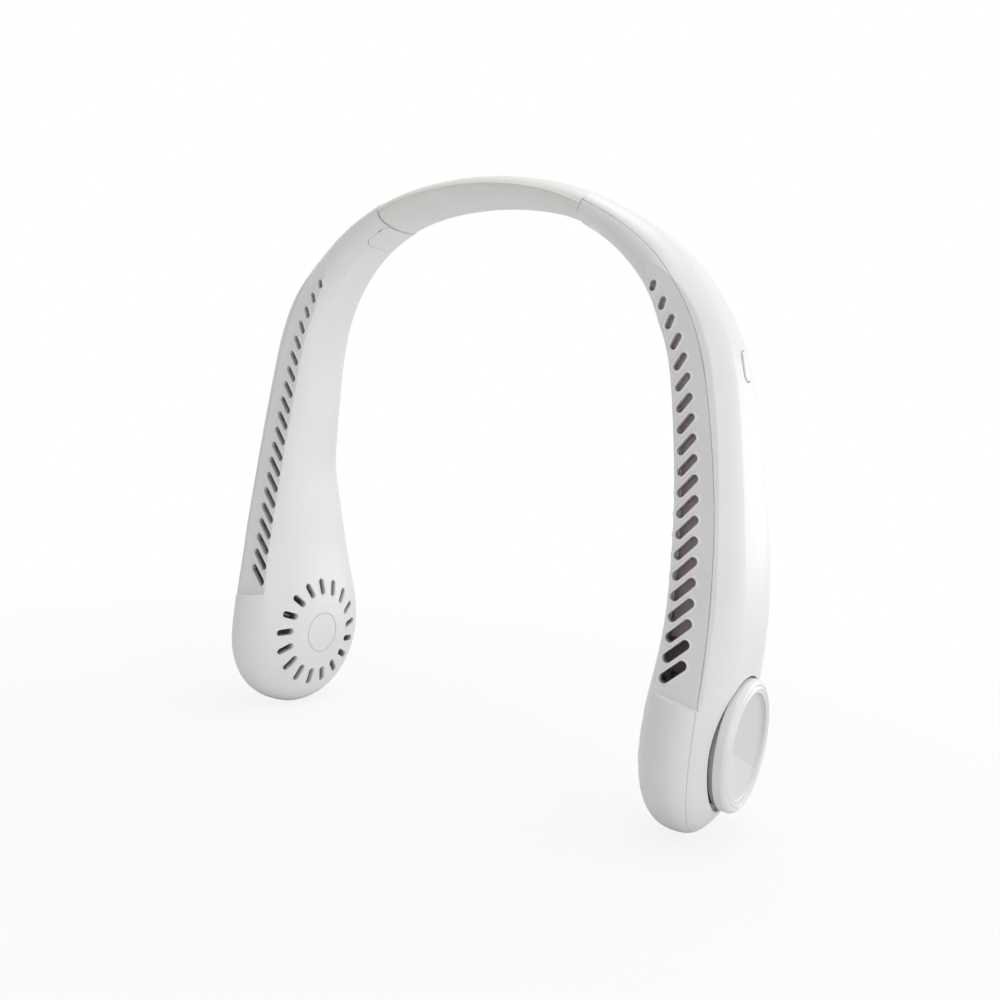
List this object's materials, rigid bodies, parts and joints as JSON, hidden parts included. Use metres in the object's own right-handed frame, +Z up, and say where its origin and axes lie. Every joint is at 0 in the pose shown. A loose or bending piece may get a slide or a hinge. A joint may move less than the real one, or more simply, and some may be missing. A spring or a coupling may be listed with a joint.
{
  "type": "electric neck fan",
  "caption": "Bladeless neck fan: soft sprung neck section joins two slotted arms that end in round blower pods with raised intake discs; power button on the right arm.",
  "frame": {"origin": "on the mirror plane between the arms, on the axis of the wearer's neck, at the middle of the neck section's width", "axes": "+Z up to the neck section, +X to the arm with the power button, +Y from the slotted front edge to the back"},
  "size_m": [0.1952, 0.0572, 0.189],
  "materials": {
    "white_shell": "satin moulded ABS",
    "white_disc": "semi-gloss moulded ABS",
    "soft_sleeve": "matt silicone, slightly warm white",
    "white_button": "satin",
    "dark_inside": "dark taupe, matt",
    "wheel_plastic": "pale grey",
    "board": "green board",
    "steel": "bright",
    "dark_iron": "dark",
    "copper": "enamelled copper",
    "bronze": "sintered bronze",
    "cell_foil": "foil pouch",
    "cable_jacket": "black",
    "switch_black": "black"
  },
  "bodies": {
    "neck_section": {"neck_sleeve": "soft_sleeve", "spring_strip": "steel", "link_cable": "cable_jacket"},
    "left_arm": {"left_inner_shell": "white_shell", "left_outer_cover": "white_shell", "left_intake_disc": "white_disc", "left_duct_divider": "dark_inside", "left_motor_board": "board", "left_motor_screws": "steel", "left_stator_core": "dark_iron", "left_stator_coils": "copper", "left_bearing_bush": "bronze", "left_battery_cell": "cell_foil", "left_screw_cover": "white_shell", "left_joint_screws": "steel"},
    "left_rotor": {"left_blower_wheel": "wheel_plastic", "left_rotor_yoke": "steel", "left_rotor_magnet": "dark_iron", "left_motor_shaft": "steel"},
    "right_arm": {"right_inner_shell": "white_shell", "right_outer_cover": "white_shell", "right_intake_disc": "white_disc", "right_duct_divider": "dark_inside", "right_motor_board": "board", "right_motor_screws": "steel", "right_stator_core": "dark_iron", "right_stator_coils": "copper", "right_bearing_bush": "bronze", "right_battery_cell": "cell_foil", "right_screw_cover": "white_shell", "right_joint_screws": "steel", "main_board": "board", "board_screws": "steel", "power_switch": "switch_black", "charging_socket": "steel"},
    "right_rotor": {"right_blower_wheel": "wheel_plastic", "right_rotor_yoke": "steel", "right_rotor_magnet": "dark_iron", "right_motor_shaft": "steel"},
    "button": {"power_button": "white_button"}
  },
  "joints": [
    {"name": "left_arm_flex", "type": "hinge", "parent": "neck_section", "child": "left_arm", "pos_m": [-0.01906, 0, 0.0782], "axis": [0, 1, 0], "range_deg": [-4, 10], "stiffness_Nm_per_rad": 2.5, "deforming": ["neck_sleeve", "spring_strip", "link_cable"]},
    {"name": "right_arm_flex", "type": "hinge", "parent": "neck_section", "child": "right_arm", "pos_m": [0.01906, 0, 0.0782], "axis": [0, -1, 0], "range_deg": [-4, 10], "stiffness_Nm_per_rad": 2.5, "deforming": ["neck_sleeve", "spring_strip", "link_cable"]},
    {"name": "left_blower_spin", "type": "hinge", "parent": "left_arm", "child": "left_rotor", "pos_m": [-0.08025, 0.0155, -0.07671], "axis": [-0.9999, 0, -0.0105], "continuous": true},
    {"name": "right_blower_spin", "type": "hinge", "parent": "right_arm", "child": "right_rotor", "pos_m": [0.08025, 0.0155, -0.07671], "axis": [0.9999, 0, -0.0105], "continuous": true},
    {"name": "power_button_press", "type": "slide", "parent": "right_arm", "child": "button", "axis": [-0.9701, 0, -0.2427], "range_m": [0, 0.0005], "stiffness_N_per_m": 1200}
  ]
}
